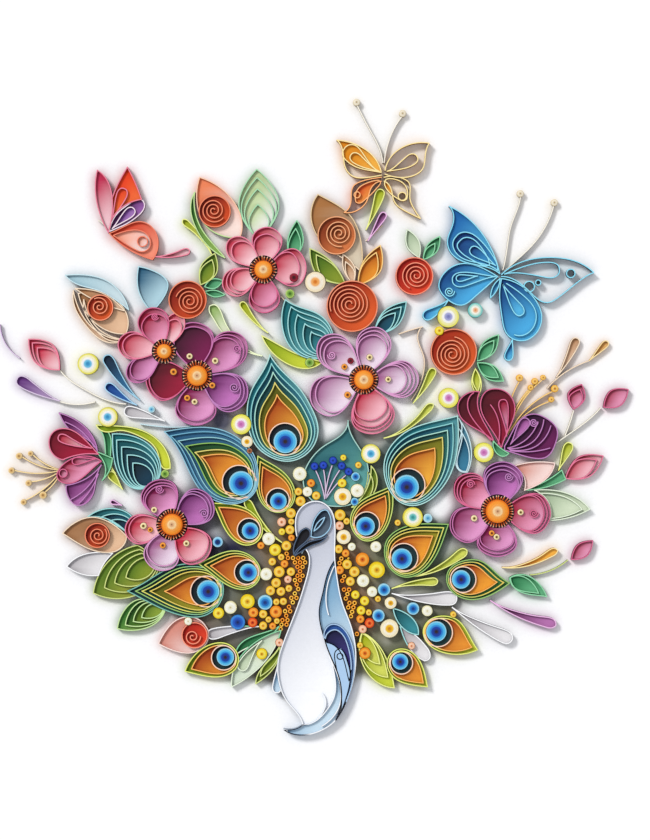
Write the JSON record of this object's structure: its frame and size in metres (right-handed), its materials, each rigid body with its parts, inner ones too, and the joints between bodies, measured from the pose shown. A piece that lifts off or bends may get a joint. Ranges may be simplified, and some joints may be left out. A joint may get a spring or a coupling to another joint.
{
  "type": "quilled paper art",
  "caption": "Quilled paper picture of a peacock with eyed feathers, flowers, roses, leaves and butterflies, made of paper strips on edge on a white card.",
  "frame": {"origin": "centre of the backing card, on its underside", "axes": "+Z out of the picture, away from the card; +Y to the top of the picture; +X to its right"},
  "size_m": [0.2874, 0.3692, 0.0066],
  "materials": {
    "card_white": "smooth matt white card",
    "paper_black": "black strip paper",
    "paper_blue": "sky and royal blue strip paper",
    "paper_cream": "cream and beige strip paper",
    "paper_crimson": "crimson and pink strip paper",
    "paper_gold": "yellow, amber and orange strip paper",
    "paper_green": "green strip paper in several shades",
    "paper_navy": "navy and royal blue strip paper",
    "paper_orange": "orange and rust strip paper",
    "paper_purple": "plum and lilac strip paper",
    "paper_teal": "teal, olive and amber strip paper",
    "paper_white": "white and pale grey strip paper"
  },
  "bodies": {
    "root": {"accent_coils": "paper_gold", "antennae": "paper_cream", "backing_card": "card_white", "buds": "paper_crimson", "butterfly_blue": "paper_blue", "butterfly_orange": "paper_gold", "butterfly_red": "paper_crimson", "collar_coils": "paper_gold", "crest_stalks": "paper_white", "crest_tips": "paper_navy", "crown_leaf": "paper_teal", "eye_coils": "paper_blue", "feather_crown": "paper_teal", "feather_left_1": "paper_teal", "feather_left_2": "paper_teal", "feather_left_3": "paper_teal", "feather_left_4": "paper_teal", "feather_left_5": "paper_teal", "feather_left_6": "paper_teal", "feather_right_1": "paper_teal", "feather_right_2": "paper_teal", "feather_right_3": "paper_teal", "feather_right_4": "paper_teal", "feather_right_5": "paper_teal", "feather_right_6": "paper_teal", "flower_a_petals": "paper_crimson", "flower_b_petals": "paper_crimson", "flower_c_petals": "paper_purple", "flower_centres": "paper_orange", "flower_d_petals": "paper_purple", "flower_e_petals": "paper_purple", "flower_f_petals": "paper_purple", "flower_fringes": "paper_cream", "leaves_lower_left": "paper_green", "leaves_lower_right": "paper_green", "leaves_top": "paper_green", "leaves_upper_left": "paper_green", "leaves_upper_right": "paper_green", "lily_left": "paper_crimson", "lily_right": "paper_crimson", "paisley_centre": "paper_teal", "paisley_left": "paper_teal", "peacock_beak": "paper_black", "peacock_body": "paper_white", "peacock_cheek": "paper_blue", "peacock_wing": "paper_navy", "ring_beads_left": "paper_gold", "ring_beads_right": "paper_gold", "rose_1": "paper_orange", "rose_2": "paper_orange", "rose_3": "paper_orange", "rose_4": "paper_orange", "rose_5": "paper_orange", "rose_6": "paper_orange", "rose_7": "paper_orange", "rose_8": "paper_orange", "rose_9": "paper_orange", "sprays": "paper_cream", "stamens_left": "paper_gold", "stamens_right": "paper_gold"}
  },
  "joints": []
}
